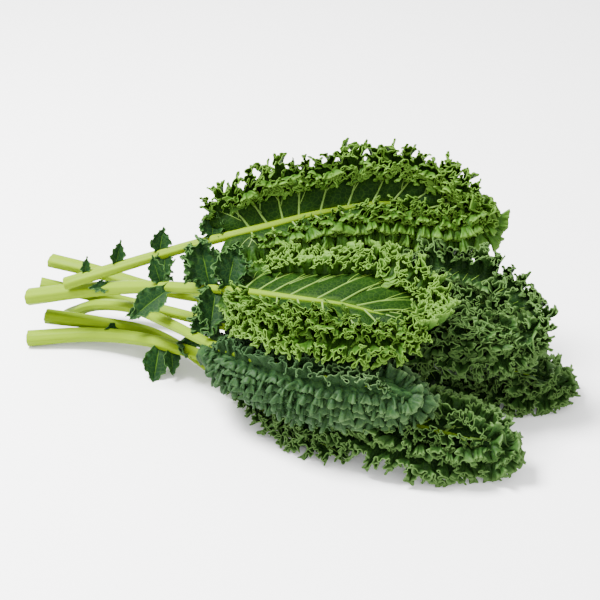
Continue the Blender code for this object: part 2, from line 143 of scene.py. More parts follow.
def new_piece(name, points, faces, material, marks=(), uv=None):
    """A smooth mesh object, with a float attribute for each of the marks."""
    mesh = bpy.data.meshes.new(name)
    mesh.from_pydata((np.asarray(points) - BUNCH_MIDDLE).tolist(), [], faces)
    mesh.polygons.foreach_set("use_smooth", np.ones(len(mesh.polygons), bool))
    for mark, values in marks:
        mesh.attributes.new(mark, "FLOAT", "POINT").data.foreach_set("value", np.asarray(values, np.float32))
    if uv is not None:
        corners = np.empty(len(mesh.loops), np.int32)
        mesh.loops.foreach_get("vertex_index", corners)
        layer = mesh.uv_layers.new(name="surface")
        layer.uv.foreach_set("vector", np.asarray(uv, np.float32)[corners].ravel())
    mesh.materials.append(material)
    mesh.update()
    piece = bpy.data.objects.new(name, mesh)
    bpy.context.scene.collection.objects.link(piece)
    return piece


def new_material(name):
    material = bpy.data.materials.new(name)
    material.use_nodes = True
    tree = material.node_tree
    return material, tree, tree.nodes["Principled BSDF"]


def feed(tree, socket, value):
    """Joins a socket to another one, or gives it a value. Three numbers are a colour."""
    if isinstance(value, bpy.types.NodeSocket):
        tree.links.new(value, socket)
    else:
        socket.default_value = (*value, 1.0) if socket.type == "RGBA" else value


def set_inputs(tree, node, **inputs):
    for name, value in inputs.items():
        feed(tree, node.inputs[name.replace("_", " ")], value)
    return node


def new_node(tree, kind, **inputs):
    return set_inputs(tree, tree.nodes.new(kind), **inputs)


def math_node(tree, operation, *values, clamp=False):
    node = tree.nodes.new("ShaderNodeMath")
    node.operation = operation
    node.use_clamp = clamp
    for socket, value in zip(node.inputs, values):
        feed(tree, socket, value)
    return node.outputs[0]


def mixed_colour(tree, share, first, second):
    """Two colours mixed by a share; each may be a socket or three numbers."""
    node = tree.nodes.new("ShaderNodeMix")
    node.data_type = "RGBA"
    for number, value in ((0, share), (6, first), (7, second)):
        feed(tree, node.inputs[number], value)
    return node.outputs[2]


def mark_node(tree, name):
    node = tree.nodes.new("ShaderNodeAttribute")
    node.attribute_name = name
    return node.outputs["Fac"]


# The flesh is streaked along the stalk, paler on the ribs, greener towards the blade, and wet and
# fibrous on the cut.
STALK_PALE = (0.130, 0.208, 0.0008)
STALK_GREEN = (0.036, 0.102, 0.0060)
# Paler blotches at random: partly the flesh's own tone, partly painted highlight on the stalk.
STALK_BLOTCH_HIGHLIGHT = (0.180, 0.255, 0.004)
STALK_CUT = (0.17, 0.22, 0.025)
STALK_FIBRE = (0.11, 0.17, 0.015)
stalk_flesh, tree, shader = new_material("stalk_flesh")
surface = tree.nodes.new("ShaderNodeTexCoord").outputs
stretched = new_node(tree, "ShaderNodeMapping", Vector=surface["UV"], Scale=(420.0, 9.0, 1.0))
streaks = new_node(tree, "ShaderNodeTexNoise", Vector=stretched.outputs[0], Scale=1.0, Detail=4.0, Roughness=0.6)
blotches = new_node(tree, "ShaderNodeTexNoise", Vector=surface["Object"], Scale=60.0, Detail=3.0)
fibres = new_node(tree, "ShaderNodeTexVoronoi", Vector=surface["Object"], Scale=1500.0)
streak_share = math_node(tree, "MULTIPLY_ADD", streaks.outputs["Fac"], 1.7, -0.35, clamp=True)
green_share = math_node(tree, "MULTIPLY_ADD", mark_node(tree, "greening"), 0.75, math_node(
    tree, "MULTIPLY", streak_share, 0.35), clamp=True)
skin = mixed_colour(tree, green_share, STALK_PALE, STALK_GREEN)
# Mixes in the paler blotches, which are partly painted highlight.
skin = mixed_colour(tree, math_node(tree, "MULTIPLY", blotches.outputs["Fac"], 0.30), skin, STALK_BLOTCH_HIGHLIGHT)
cut_look = mixed_colour(tree, fibres.outputs["Distance"], STALK_CUT, STALK_FIBRE)
ridge_bump = new_node(tree, "ShaderNodeBump", Height=streaks.outputs["Fac"], Strength=0.35, Distance=0.0004)
set_inputs(tree, shader, Base_Color=mixed_colour(tree, mark_node(tree, "cut"), skin, cut_look),
           Normal=ridge_bump.outputs[0], Subsurface_Weight=0.12, Subsurface_Radius=(0.004, 0.005, 0.001),
           Roughness=math_node(tree, "MULTIPLY_ADD", blotches.outputs["Fac"], 0.25, 0.36),
           Specular_IOR_Level=0.05)


def make_stalk(name, stalk, turn_by):
    cut_rings = len(END_SCALES)
    shares = np.concatenate([np.zeros(cut_rings), 0.0015 + 0.9985 * np.linspace(0, 1, STALK_RINGS) ** 0.9])
    scale = np.concatenate([END_SCALES, np.ones(STALK_RINGS)])
    scale[-cut_rings:] = END_SCALES[::-1]
    centre, along, front, face = stalk_frames(stalk, shares)
    radius = stalk_radius(stalk, shares) * scale
    turn = np.arange(STALK_SIDES) * 2 * math.pi / STALK_SIDES
    ribs = 1 + RIB_DEPTH * np.cos(RIB_COUNT * turn + turn_by) * (1 - 0.7 * shares)[:, None]
    groove = 1 - GROOVE_DEPTH * (1 - smooth_step(shares, 0.05, 0.7))[:, None] * np.clip(np.sin(turn), 0, 1) ** 6
    wide = radius[:, None] * ribs * groove * np.cos(turn)
    high = STALK_FLATNESS * radius[:, None] * ribs * groove * np.sin(turn)
    rings = centre[:, None] + wide[..., None] * front[:, None] + high[..., None] * face[:, None]
    ends = np.stack([centre[0] + END_SHIFT * along[0], centre[-1] + END_SHIFT * along[-1]])
    points = np.concatenate([rings.reshape(-1, 3), ends])
    points[:, 2] = np.maximum(points[:, 2], STALK_FLOOR)
    faces = []
    for side in range(STALK_SIDES):
        after = (side + 1) % STALK_SIDES
        for ring in range(0, (len(shares) - 1) * STALK_SIDES, STALK_SIDES):
            faces.append((ring + side, ring + STALK_SIDES + side, ring + STALK_SIDES + after, ring + after))
        last = (len(shares) - 1) * STALK_SIDES
        faces.append((len(points) - 2, side, after))
        faces.append((len(points) - 1, last + after, last + side))
    cut = np.append(np.repeat(np.where(np.arange(len(shares)) < cut_rings, 1.0, 0.0), STALK_SIDES), (1.0, 0.0))
    greening = np.append(np.repeat(smooth_step(shares, 0.25 * stalk["blade_from"], 1.5), STALK_SIDES), (0.0, 1.0))
    length = np.linalg.norm(np.diff(centre, axis=0), axis=1).sum()
    uv = np.stack([np.tile(turn * SURFACE_RADIUS, len(shares)), np.repeat(shares * length, STALK_SIDES)], -1)
    piece = new_piece(name + "_stalk_fine", points, faces, stalk_flesh, (("cut", cut), ("greening", greening)),
                      np.concatenate([uv, [(0.0, 0.0), (0.0, length)]]))
    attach(piece, "root")
    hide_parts(name + "_stalk")


for number, (leaf_name, stalk) in enumerate(STALKS.items()):
    make_stalk(leaf_name, stalk, 0.9 * number)


# The blades. Each is one thin waxy sheet grown round the midrib. Its margin has grown so much longer
# than the leaf that it stands up in a dense frill of folds, curls and crimps, and also runs back and
# forth over the sheet in further rows.
BLADES = {
    # A row has its place on the way out, its angles at foot and edge, its height, or one for each end,
    # and the part of the way round the leaf that it takes up.
    "back_leaf": dict(
        base=(0.30, 0.62), widens=(0.75, 0.22), reach=(0.044, 0.055, 0.040), tilt=(12, 20), curl=(-14, -10), seed=11,
        base_angles=(118, 140),
        margin=dict(starts=(0.86, 0.66, 0.30), length=(0.022, 0.019), angles=(0, -75, 45, 130), grows_over=0.010),
        rows=((0.12, (80, 35), (0.004, 0.014), (0.20, 0.49)), (0.30, (70, 15), (0.005, 0.016), (0.10, 0.52)),
              (0.46, (60, 0), (0.008, 0.018), (0.04, 0.60)), (0.62, (45, -25), (0.012, 0.021), (0.05, 0.55)),
              (0.76, (20, -50), (0.014, 0.022), (0.05, 0.50)), (0.50, (75, 140), 0.011, (0.50, 0.95)),
              (0.62, (85, 150), 0.014, (0.44, 0.97))), step=0.000174),
    "crown_leaf": dict(
        base=(0.26, 0.42), widens=(0.4, 0.45), reach=(0.060, 0.072, 0.050), tilt=(-3, -5), curl=(-16, -14), seed=24,
        base_angles=(84, 98),
        margin=dict(starts=(0.62, 0.80, 0.34), length=(0.020, 0.023), angles=(0, 40, 75, 115), grows_over=0.045,
                    tip_width=0.19),
        rows=((0.20, (60, 20), (0.007, 0.006), (0.02, 0.32)), (0.34, (65, 20), 0.012, (0.02, 0.44)),
              (0.48, (60, 25), (0.017, 0.010), (0.02, 0.60)), (0.36, (60, 50), (0.011, 0.010), (0.36, 0.62)),
              (0.68, (70, 130), 0.013, (0.47, 0.96))), step=0.000168),
    "puckered_leaf": dict(
        base=(0.40, 0.40), reach=(0.043, 0.040, 0.045), tilt=(-22, -6), curl=(-55, -30), seed=33,
        margin=dict(starts=(0.86, 0.74, 0.70), length=(0.008, 0.014), angles=(0, -40, 10, 60)),
        rows=((0.10, (148, 116), (0.015, 0.010), (0.02, 0.49)), (0.10, (70, 120), 0.010, (0.51, 0.98)),
              (0.17, (65, 0), (0.007, 0.011), (0.02, 0.50)), (0.30, (65, -10), (0.007, 0.013), (0.02, 0.55)),
              (0.43, (60, -15), (0.007, 0.014), (0.03, 0.60)), (0.56, (60, -20), (0.007, 0.014), (0.03, 0.62)),
              (0.70, (60, -25), (0.007, 0.014), (0.04, 0.55)), (0.42, (75, 20), 0.012, (0.32, 0.68))),
        pale_from=(0.12, 0.36), panel_rows=17, panel_stride=8, blisters=0.0018,
        fold=0.0110, turns=(1.55, 1.25, 0.60), counts=(2.9, 2.2), step=0.00022),
    "right_leaf": dict(
        reach=(0.052, 0.076, 0.048), tilt=(-4, 8), curl=(-12, -10), seed=44,
        margin=dict(starts=(0.60, 0.76, 0.40), length=(0.021, 0.022), angles=(0, 40, 30, 125)),
        rows=((0.08, (70, 110), 0.012, (0.12, 0.58)), (0.28, (70, 25), 0.015, (0.14, 0.60)),
              (0.45, (60, 20), 0.017, (0.10, 0.50)), (0.10, (60, 120), 0.012, (0.48, 0.86)),
              (0.36, (80, 140), 0.013, (0.48, 0.88)), (0.60, (80, 150), 0.014, (0.50, 0.92)),
              (0.26, (60, 30), 0.013, (0.34, 0.66))), fold=0.0140),
    "outer_leaf": dict(
        reach=(0.046, 0.052, 0.040), tilt=(-10, -8), curl=(-22, -20), seed=55,
        margin=dict(starts=(0.56, 0.64, 0.36), length=(0.020, 0.019), angles=(0, 35, 25, 110)),
        rows=((0.24, (70, 25), 0.015, (0.20, 0.60)), (0.42, (60, 20), 0.017, (0.18, 0.48)),
              (0.46, (80, 150), 0.014, (0.52, 0.80)), (0.24, (60, 30), 0.013, (0.30, 0.68))),
        fold=0.0140),
    "floor_leaf": dict(
        widens=(0.5, 0.4), reach=(0.046, 0.040, 0.038), tilt=(-13, 0), curl=(-20, -10), seed=69,
        margin=dict(starts=(0.52, 0.60, 0.40), length=(0.019, 0.017), angles=(0, 35, 25, 80)),
        rows=((0.12, (85, 50), (0.017, 0.015), (0.06, 0.52)), (0.32, (60, 15), 0.018, (0.04, 0.54)),
              (0.34, (75, 120), 0.013, (0.55, 0.85)), (0.30, (60, 20), (0.014, 0.013), (0.28, 0.70))),
        fold=0.0140, turns=(1.75, 1.4, 1.1), counts=(3.9, 2.9)),
    "under_leaf": dict(
        base=(0.06, 0.34), widens=(0.8, 0.4), reach=(0.031, 0.026, 0.034), tilt=(-4, 5), curl=(-4, -4), seed=77,
        margin=dict(starts=(0.30, 0.62, 0.46), length=(0.010, 0.011), angles=(0, 30, 35, 40), grows_over=0.100),
        rows=((0.14, (60, 30), 0.008, (0.20, 0.50)),), fold=0.0125, turns=(1.75, 1.4, 1.0)),
}
FOLD_LENGTH = 0.0128
WAVE_TURNS = (1.80, 1.50, 1.20)
WAVE_COUNTS = (4.3, 3.1)
BASE_ANGLES = (118, 118)
BASE_REACH = (0.45, 0.45)
WIDENS = (0.4, 0.4)
SIDE_VEIN_ANGLE = math.radians(60)
MIDRIB_SHARE_OF_RUN = 0.88
COLUMN_STEP = 0.000184
PANEL_ROWS = 9
PANEL_STRIDE = 16
FRILL_OUTS = (0.12, 0.26, 0.42, 0.60, 0.76, 0.90, 1.0)
FRILL_STRIDES = (8, 4, 4, 2, 2, 1, 1)
FAN_SHARE = 0.6
FAN_SMOOTHING = 48
LINE_SAMPLES = 1601
MARGIN_GROWS_OVER = 0.030
ROW_GROWS_OVER = 0.022
ROW_SINK = 0.0004
TIP_WIDTH = 0.13
SLIDE_LIMIT = 0.015
SWAY_LIMIT = 0.018
TOOTH_LENGTH = 0.0009
SHEET_ROOT_SHARE = 0.45
BLADE_THICKNESS = 0.00056
BLADE_FLOOR = 0.0005
SIDE_VEIN_SPACING = 0.024
PILLOW_HEIGHT = 0.0026
BLISTER_SPACING = 0.0085
SMALL_BLISTER_SPACING = 0.0045
SCALE_WIDTH = 0.0155
SCALE_LENGTH = 0.0105
# A puff mark that paints no light or shade on the blisters.
EVEN_PUFF = 0.45
PALE_EVERYWHERE = (-0.2, -0.1)
# How pale the last rows of a frill are, partly as painted highlight on the curled edge.
EDGE_PALENESS = (0.10, 0.45, 1.0)


def blade_columns(stalk, blade, place):
    """Where on the midrib each column of the sheet starts, and its side, angle, reach, tilt and curl.
    Places run from 0 at the foot along the front side to 0.5 at the tip, and back behind to 1."""
    front = place <= 0.5
    run = np.where(front, 2 * place, 2 - 2 * place)
    side = np.where(front, 1.0, -1.0)
    left = np.clip(1 - run / MIDRIB_SHARE_OF_RUN, 0, 1)
    share = stalk["blade_from"] + (1 - stalk["blade_from"]) * (1 - left**1.3)
    angle = SIDE_VEIN_ANGLE * (1 - smooth_step(run, 0.5, 1.0) ** 0.8)
    angle_at_base = np.radians(np.where(front, *blade.get("base_angles", BASE_ANGLES)))
    angle += (angle_at_base - SIDE_VEIN_ANGLE) * (1 - smooth_step(run, 0.0, 0.28))
    frontness = smooth_step(side * angle, -0.9, 0.9)
    in_front, behind, at_tip = blade["reach"]
    widest = behind + (in_front - behind) * frontness
    wide_from = np.where(front, *blade.get("widens", WIDENS))
    base = np.where(front, *blade.get("base", BASE_REACH))
    reach = widest * (base + (1 - base) * smooth_step(run / wide_from, -0.2, 1.0))
    reach += (at_tip - reach) * smooth_step(run, 0.6, 1.0)
    tilt = np.radians(blade["tilt"][1] + (blade["tilt"][0] - blade["tilt"][1]) * frontness)
    curl = np.radians(blade["curl"][1] + (blade["curl"][0] - blade["curl"][1]) * frontness)
    return share, side, angle, reach, tilt, curl


def panel_points(stalk, blade, place, out):
    """Points of the smooth sheet, with the ways outward along it and up from it."""
    share, side, angle, reach, tilt, curl = blade_columns(stalk, blade, place)
    centre, along, front, face = stalk_frames(stalk, share)
    outward = np.cos(angle)[:, None] * along + (np.sin(angle) * side)[:, None] * front
    inner = centre + outward * (SHEET_ROOT_SHARE * stalk_radius(stalk, share))[:, None]
    turned = tilt + curl * out
    flat = (reach / curl * (np.sin(turned) - np.sin(tilt)))[:, None]
    rise = (reach / curl * (np.cos(tilt) - np.cos(turned)))[:, None]
    cosine, sine = np.cos(turned)[:, None], np.sin(turned)[:, None]
    return inner + outward * flat + face * rise, cosine * outward + sine * face, cosine * face - sine * outward


def wander(random, run, step):
    """Smooth chance values between -1 and 1 along a run, which change over about one step."""
    knots = random.uniform(-1, 1, int(run[-1] / step) + 3)
    at = run / step
    whole = at.astype(int)
    part = smooth_step(at - whole, 0, 1)
    return knots[whole] * (1 - part) + knots[whole + 1] * part


def running_mean(values, width):
    """The mean of the values round each one, over about this many of them."""
    half = width // 2
    before = 2 * values[0] - values[half:0:-1]
    after = 2 * values[-1] - values[-2:-half - 2:-1]
    total = np.concatenate([[0.0], np.cumsum(np.concatenate([before, values, after]))])
    return (total[2 * half + 1:] - total[:-2 * half - 1]) / (2 * half + 1)


def mean_of_wave(turn):
    """How far a meander that swings by this turn gets ahead, as a share of its own length."""
    round_once = np.sin(np.linspace(0, 2 * math.pi, 33)[:-1])
    return np.cos(np.asarray(turn)[:, None] * round_once).mean(1)


def ways_from_foot(base, outward, width):
    """The way along a frill's foot, evened out over some columns, and the outward way square to it."""
    along = unit(np.gradient(base, axis=0))
    along = unit(np.stack([running_mean(part, width) for part in along.T], axis=1))
    return along, unit(outward - (outward * along).sum(-1, keepdims=True) * along)


def fan_line(base, outward, length):
    """The line part of the way out over a frill's foot, along which its folds are spaced."""
    return base + FAN_SHARE * length * ways_from_foot(base, outward, FAN_SMOOTHING)[1]


def frill_rows(base, outward, up, length, angles, blade, random, growth=1.0):
    """Rows of a frill from its foot to its free edge. The edge is a fold with curls on it and
    crimps on those, each a sine-generated meander, so it is many times as long as its foot."""
    fold = blade.get("fold", FOLD_LENGTH)
    along, outward = ways_from_foot(base, outward, int(fold / blade.get("step", COLUMN_STEP)))
    run = steps_along(base + FAN_SHARE * length[:, None] * outward)
    step = np.gradient(run)
    up = unit(up - (up * along).sum(-1, keepdims=True) * along - (up * outward).sum(-1, keepdims=True) * outward)
    width = max(8, int(fold / step.mean()))
    curls, crimps = blade.get("counts", WAVE_COUNTS)
    length = length * (1 + 0.15 * wander(random, run, 0.7 * fold))
    start, end = angles
    end = end * (1 + 0.30 * wander(random, run, 0.8 * fold))
    change = np.where(np.abs(end - start) < 0.05, 0.05, end - start)
    turn_by = [turn * (1 + part * wander(random, run, size)) for turn, part, size in
               zip(blade.get("turns", WAVE_TURNS), (0.10, 0.22, 0.30), (fold, fold / 2, fold / 5))]
    phase = np.cumsum(step / (fold * (1 + 0.25 * wander(random, run, 3 * fold)))) * 2 * math.pi
    curl_phase = phase * curls + 1.8 * wander(random, run, 0.5 * fold)
    crimp_phase = curl_phase * crimps + 1.8 * wander(random, run, 0.5 * fold / curls)
    lean = 0.45 * wander(random, run, 0.6 * fold)[:, None]
    tooth = blade.get("tooth", TOOTH_LENGTH) * (wander(random, run, 0.25 * fold) + 0.55 * np.cos(crimp_phase))
    ends = growth * smooth_step(np.minimum(run, run[-1] - run), -0.004, 0.010)
    rows = []
    for out in FRILL_OUTS:
        sizes = (turn_by[0] * out**0.55, turn_by[1] * smooth_step(out, 0.02, 0.78),
                 turn_by[2] * smooth_step(out, 0.4, 0.98))
        turn = sizes[0] * np.sin(phase) + sizes[1] * np.sin(curl_phase) + sizes[2] * np.sin(crimp_phase)
        stretch = step / (mean_of_wave(sizes[0]) * mean_of_wave(sizes[1]) * mean_of_wave(sizes[2]))
        slide = np.cumsum(stretch * np.cos(turn)) - run
        sway = np.cumsum(stretch * np.sin(turn))
        slide = SLIDE_LIMIT * np.tanh((slide - running_mean(slide, width)) / SLIDE_LIMIT) * ends
        sway = SWAY_LIMIT * np.tanh((sway - running_mean(sway, width)) / SWAY_LIMIT) * ends
        turned = start + change * out
        flat = length * (np.sin(turned) - np.sin(start)) / change
        rise = length * (np.cos(start) - np.cos(turned)) / change
        cosine, sine = np.cos(turned)[:, None], np.sin(turned)[:, None]
        across = cosine * up - sine * outward + lean * along
        reach_on = (cosine * outward + sine * up) * (tooth * out**2)[:, None]
        rows.append(base + outward * flat[:, None] + up * rise[:, None] + along * slide[:, None]
                    + across * sway[:, None] + reach_on)
    return rows


def joined_rows(rows, strides, first):
    """Triangles between rows. Each row uses every so many columns, and outer ones use more."""
    count = len(rows[0])
    parts = []
    for inner in range(len(rows) - 1):
        near = first + inner * count + np.arange(0, count, strides[inner])
        far = first + (inner + 1) * count + np.arange(0, count, strides[inner + 1])
        ratio = strides[inner] // strides[inner + 1]
        if ratio == 1:
            parts.append(np.stack([near[:-1], far[:-1], near[1:]], -1))
            parts.append(np.stack([near[1:], far[:-1], far[1:]], -1))
            continue
        middle = ratio // 2
        for offset in range(ratio):
            owner = near[:-1] if offset < middle else near[1:]
            start = far[:-1].reshape(-1, ratio)[:, offset]
            after = far[1:].reshape(-1, ratio)[:, offset]
            parts.append(np.stack([owner, start, after], -1))
        parts.append(np.stack([near[:-1], far[:-1].reshape(-1, ratio)[:, middle], near[1:]], -1))
    return np.concatenate(parts)


def thickened(points, triangles, thickness):
    """A closed thin solid with the sheet in its middle: upper points first, then lower ones."""
    corners = points[triangles]
    flat = unit(np.cross(corners[:, 1] - corners[:, 0], corners[:, 2] - corners[:, 0]))
    normals = np.zeros_like(points)
    for corner in range(3):
        one = unit(corners[:, (corner + 1) % 3] - corners[:, corner])
        other = unit(corners[:, (corner + 2) % 3] - corners[:, corner])
        angle = np.arccos(np.clip((one * other).sum(-1), -1, 1))
        np.add.at(normals, triangles[:, corner], flat * angle[:, None])
    normals = unit(normals)
    count = len(points)
    edges = np.concatenate([triangles[:, (0, 1)], triangles[:, (1, 2)], triangles[:, (2, 0)]])
    keys = edges[:, 0] * count + edges[:, 1]
    back = edges[:, 1] * count + edges[:, 0]
    start, end = edges[~np.isin(keys, back)].T
    walls = [np.stack([end, start, start + count], -1), np.stack([end, start + count, end + count], -1)]
    faces = np.concatenate([triangles, triangles[:, ::-1] + count, *walls])
    return np.concatenate([points + normals * thickness / 2, points - normals * thickness / 2]), faces


def blister_height(random, across, along, spacing):
    """Domes on a jittered grid, as the tissue puffs up between the smallest veins."""
    cells_a, cells_b = int(along.max() / spacing) + 2, int(across.max() / spacing) + 2
    grid = np.stack(np.meshgrid(np.arange(cells_a), np.arange(cells_b), indexing="ij"), -1).reshape(-1, 2)
    seeds = (grid + random.uniform(-0.30, 0.30, grid.shape)) * spacing
    seeds[:, 0] += (grid[:, 1] % 2) * spacing / 2
    sizes = random.uniform(0.7, 1.1, len(seeds))
    height = np.zeros(across.shape)
    for (here, out), size in zip(seeds, sizes):
        columns = np.flatnonzero(np.abs(along[0] - here) < spacing)
        near = np.hypot(along[:, columns] - here, across[:, columns] - out) / (0.64 * spacing)
        height[:, columns] = np.maximum(height[:, columns], size * np.sqrt(np.clip(1 - near**2, 0, 1)))
    return height


def scale_height(random, across, along):
    """Slanting crescents that overlap like scales, where the puffed tissue hangs down the side."""
    shift = random.uniform(-0.25, 0.25, (int(along.max() / 0.010) + 40, 8))
    row = across / SCALE_WIDTH + 0.35 * np.sin(along / 0.013)
    which = np.clip(row.astype(int), 0, 7)
    place = (along + 0.55 * across) / SCALE_LENGTH + 0.5 * (which % 2)
    cell = place.astype(int)
    part = np.clip(place - cell + shift[cell, which] * np.sin(math.pi * (place - cell)), 0, 1)
    lobe = np.clip(np.sin(math.pi * np.clip(row - which, 0, 1)), 0, 1) ** 0.45
    return lobe * part**0.7 * (1 - smooth_step(part, 0.80, 1.0))


# The leaf's skin: deep green between a fine net of paler veinlets, blotched, with a pale thin line
# along the very edge of the frill, a greyer underside, and a soft wax shine. Painted shade darkens
# it towards the foot of the frill and over the sheet, on top of its own deeper green there; the pale
# edge line is partly painted highlight; and on the puckered leaf painted light brightens the blister
# tops and painted shade darkens the dents between them.
SKIN_VEIN = (0.085, 0.18, 0.014)
SKIN_ROUGHNESS = 0.56
SEE_THROUGH = 0.14
skin_marks = bpy.data.node_groups.new("leaf_skin_marks", "ShaderNodeTree")
skin_marks.interface.new_socket("Edge Mark", in_out="INPUT", socket_type="NodeSocketFloat")
for socket in ("Edge", "Net", "Blotch", "Relief"):
    skin_marks.interface.new_socket(socket, in_out="OUTPUT", socket_type="NodeSocketFloat")
given = skin_marks.nodes.new("NodeGroupInput").outputs
place_of = skin_marks.nodes.new("ShaderNodeTexCoord").outputs["Object"]
cells = new_node(skin_marks, "ShaderNodeTexVoronoi", Vector=place_of, Scale=260.0)
cells.feature = "DISTANCE_TO_EDGE"
blotch = new_node(skin_marks, "ShaderNodeTexNoise", Vector=place_of, Scale=45.0, Detail=4.0, Roughness=0.55)
grain = new_node(skin_marks, "ShaderNodeTexNoise", Vector=place_of, Scale=900.0, Detail=2.0)
net = math_node(skin_marks, "SUBTRACT", 1.0, math_node(
    skin_marks, "MULTIPLY", cells.outputs["Distance"], 12.0, clamp=True))
relief = math_node(skin_marks, "MULTIPLY_ADD", cells.outputs["Distance"], 1.5, math_node(
    skin_marks, "MULTIPLY", grain.outputs["Fac"], 0.12))
new_node(skin_marks, "NodeGroupOutput", Edge=math_node(skin_marks, "POWER", given["Edge Mark"], 1.6), Net=net,
         Blotch=blotch.outputs["Fac"], Relief=relief)


def leaf_skin(name, deep_shaded, light, edge_and_highlight_colour, under):
    """A skin from its colours in the hollows, where painted shade darkens it, out on the frill, at the very edge, where
    it is partly painted highlight, and underneath.
    """
    material, tree, shader = new_material(name)
    group = tree.nodes.new("ShaderNodeGroup")
    group.node_tree = skin_marks
    marks = set_inputs(tree, group, Edge_Mark=mark_node(tree, "edge")).outputs
    outness = mark_node(tree, "outness")
    blotch_share = math_node(tree, "MULTIPLY_ADD", marks["Blotch"], 1.5, -0.35, clamp=True)
    # The colour darkens from the frill's edge in to its foot and over the sheet: painted shade for the hollows, on top
    # of the leaf's own deeper green there.
    painted_shade_fade = math_node(tree, "POWER", outness, 1.6)
    share = math_node(tree, "MULTIPLY_ADD", painted_shade_fade, 0.75, math_node(tree, "MULTIPLY", blotch_share, 0.17))
    # The puff mark lightens the blister tops and darkens the dents between them: painted light and shade on the
    # puckered leaf.
    painted_puff_light = math_node(tree, "MULTIPLY_ADD", mark_node(tree, "puff"), 1.1, -0.5)
    colour = mixed_colour(tree, math_node(tree, "ADD", share, painted_puff_light, clamp=True), deep_shaded, light)
    for mark, strength, mixed_in in ((marks["Net"], 0.12, SKIN_VEIN), (mark_node(tree, "underside"), 0.35, under),
                                     (mark_node(tree, "vein"), 0.8, SKIN_VEIN)):
        colour = mixed_colour(tree, math_node(tree, "MULTIPLY", mark, strength), colour, mixed_in)
    # The pale line along the very edge is partly the edge's own paler green and partly painted highlight where the
    # curled edge catches the light.
    edge_share = math_node(tree, "MULTIPLY_ADD", marks["Blotch"], 0.7, 0.30)
    edge_share = math_node(tree, "MULTIPLY", marks["Edge"], edge_share, clamp=True)
    colour = mixed_colour(tree, edge_share, colour, edge_and_highlight_colour)
    bump = new_node(tree, "ShaderNodeBump", Height=marks["Relief"], Strength=0.5, Distance=0.0006).outputs[0]
    set_inputs(tree, shader, Base_Color=colour, Normal=bump,
               Roughness=math_node(tree, "MULTIPLY_ADD", marks["Blotch"], 0.2, SKIN_ROUGHNESS - 0.1),
               Specular_IOR_Level=math_node(tree, "MULTIPLY_ADD", outness, 0.09, 0.03))
    through = new_node(tree, "ShaderNodeBsdfTranslucent", Color=colour, Normal=bump)
    blend = tree.nodes.new("ShaderNodeMixShader")
    for socket, value in zip(blend.inputs, (SEE_THROUGH, shader.outputs[0], through.outputs[0])):
        feed(tree, socket, value)
    set_inputs(tree, tree.nodes["Material Output"], Surface=blend.outputs[0])
    return material


bright_skin = leaf_skin("bright_leaf_skin", (0.0018, 0.0115, 0.0008), (0.038, 0.112, 0.0065),
                        (0.125, 0.245, 0.030), (0.030, 0.085, 0.008))
dark_skin = leaf_skin("dark_leaf_skin", (0.0025, 0.012, 0.0022), (0.022, 0.066, 0.0105),
                      (0.092, 0.175, 0.042), (0.021, 0.056, 0.012))
blue_skin = leaf_skin("blue_leaf_skin", (0.0035, 0.015, 0.0045), (0.022, 0.058, 0.017),
                      (0.094, 0.172, 0.056), (0.030, 0.070, 0.024))
SKINS = {"crown_leaf": bright_skin, "back_leaf": bright_skin, "puckered_leaf": blue_skin}
VEIN_PLACES = {}


def margin_starts(blade, place):
    """How far out over the sheet its margin's frill starts."""
    in_front, behind, at_tip = blade["margin"]["starts"]
    starts = in_front + (behind - in_front) * smooth_step(place, 0.40, 0.60)
    tip_width = blade["margin"].get("tip_width", TIP_WIDTH)
    return starts + (at_tip - starts) * (1 - smooth_step(np.abs(place - 0.5), 0.0, tip_width))


def even_places(stalk, blade, length, first=0.0, last=1.0, out=None):
    """Places that lie evenly along the fan line of the margin's frill, or of one further in. Their
    number fits the stride of the panel."""
    fine = np.linspace(first, last, LINE_SAMPLES)
    foot, outward, _ = panel_points(stalk, blade, fine, margin_starts(blade, fine) if out is None else out)
    run = steps_along(fan_line(foot, outward, length))
    count = PANEL_STRIDE * max(2, round(run[-1] / blade.get("step", COLUMN_STEP) / PANEL_STRIDE))
    return np.interp(np.linspace(0, run[-1], count + 1), run, fine)


def edge_marks(blade, place, rows):
    """How pale each point of a frill is, partly as painted highlight: only its last rows, and on some leaves only near
    the tip.
    """
    start, end = blade.get("pale_from", PALE_EVERYWHERE)
    marks = np.append(np.zeros(rows - len(EDGE_PALENESS)), EDGE_PALENESS)
    return np.outer(marks, smooth_step(np.minimum(place, 1 - place), start, end))


def sheet_points(leaf_name, place, out):
    """Points of the sheet with its puffs between the side veins."""
    stalk, blade = STALKS[leaf_name], BLADES[leaf_name]
    points, outward, up = panel_points(stalk, blade, place, out)
    between = np.abs(np.sin(math.pi * np.interp(place, VEIN_PLACES[leaf_name], np.arange(len(VEIN_PLACES[leaf_name])))))
    share = np.clip(out / margin_starts(blade, place), 0, 1)
    puff = PILLOW_HEIGHT * between**0.8 * np.sin(math.pi * share) ** 0.7
    return points + up * puff[:, None], outward, up


def new_sheet():
    return {part: [] for part in ("points", "triangles", "outness", "edge", "vein", "puff")}


def add_rows(sheet, rows, strides, **marks):
    """Adds rows to a sheet. A mark is one value, one for each row, or one for each point."""
    sheet["triangles"].append(joined_rows(rows, strides, sum(map(len, sheet["points"]))))
    sheet["points"].append(np.concatenate(rows))
    for mark, values in marks.items():
        values = values[:, None] if np.ndim(values) == 1 else values
        sheet[mark].append(np.broadcast_to(values, (len(rows), len(rows[0]))).ravel())


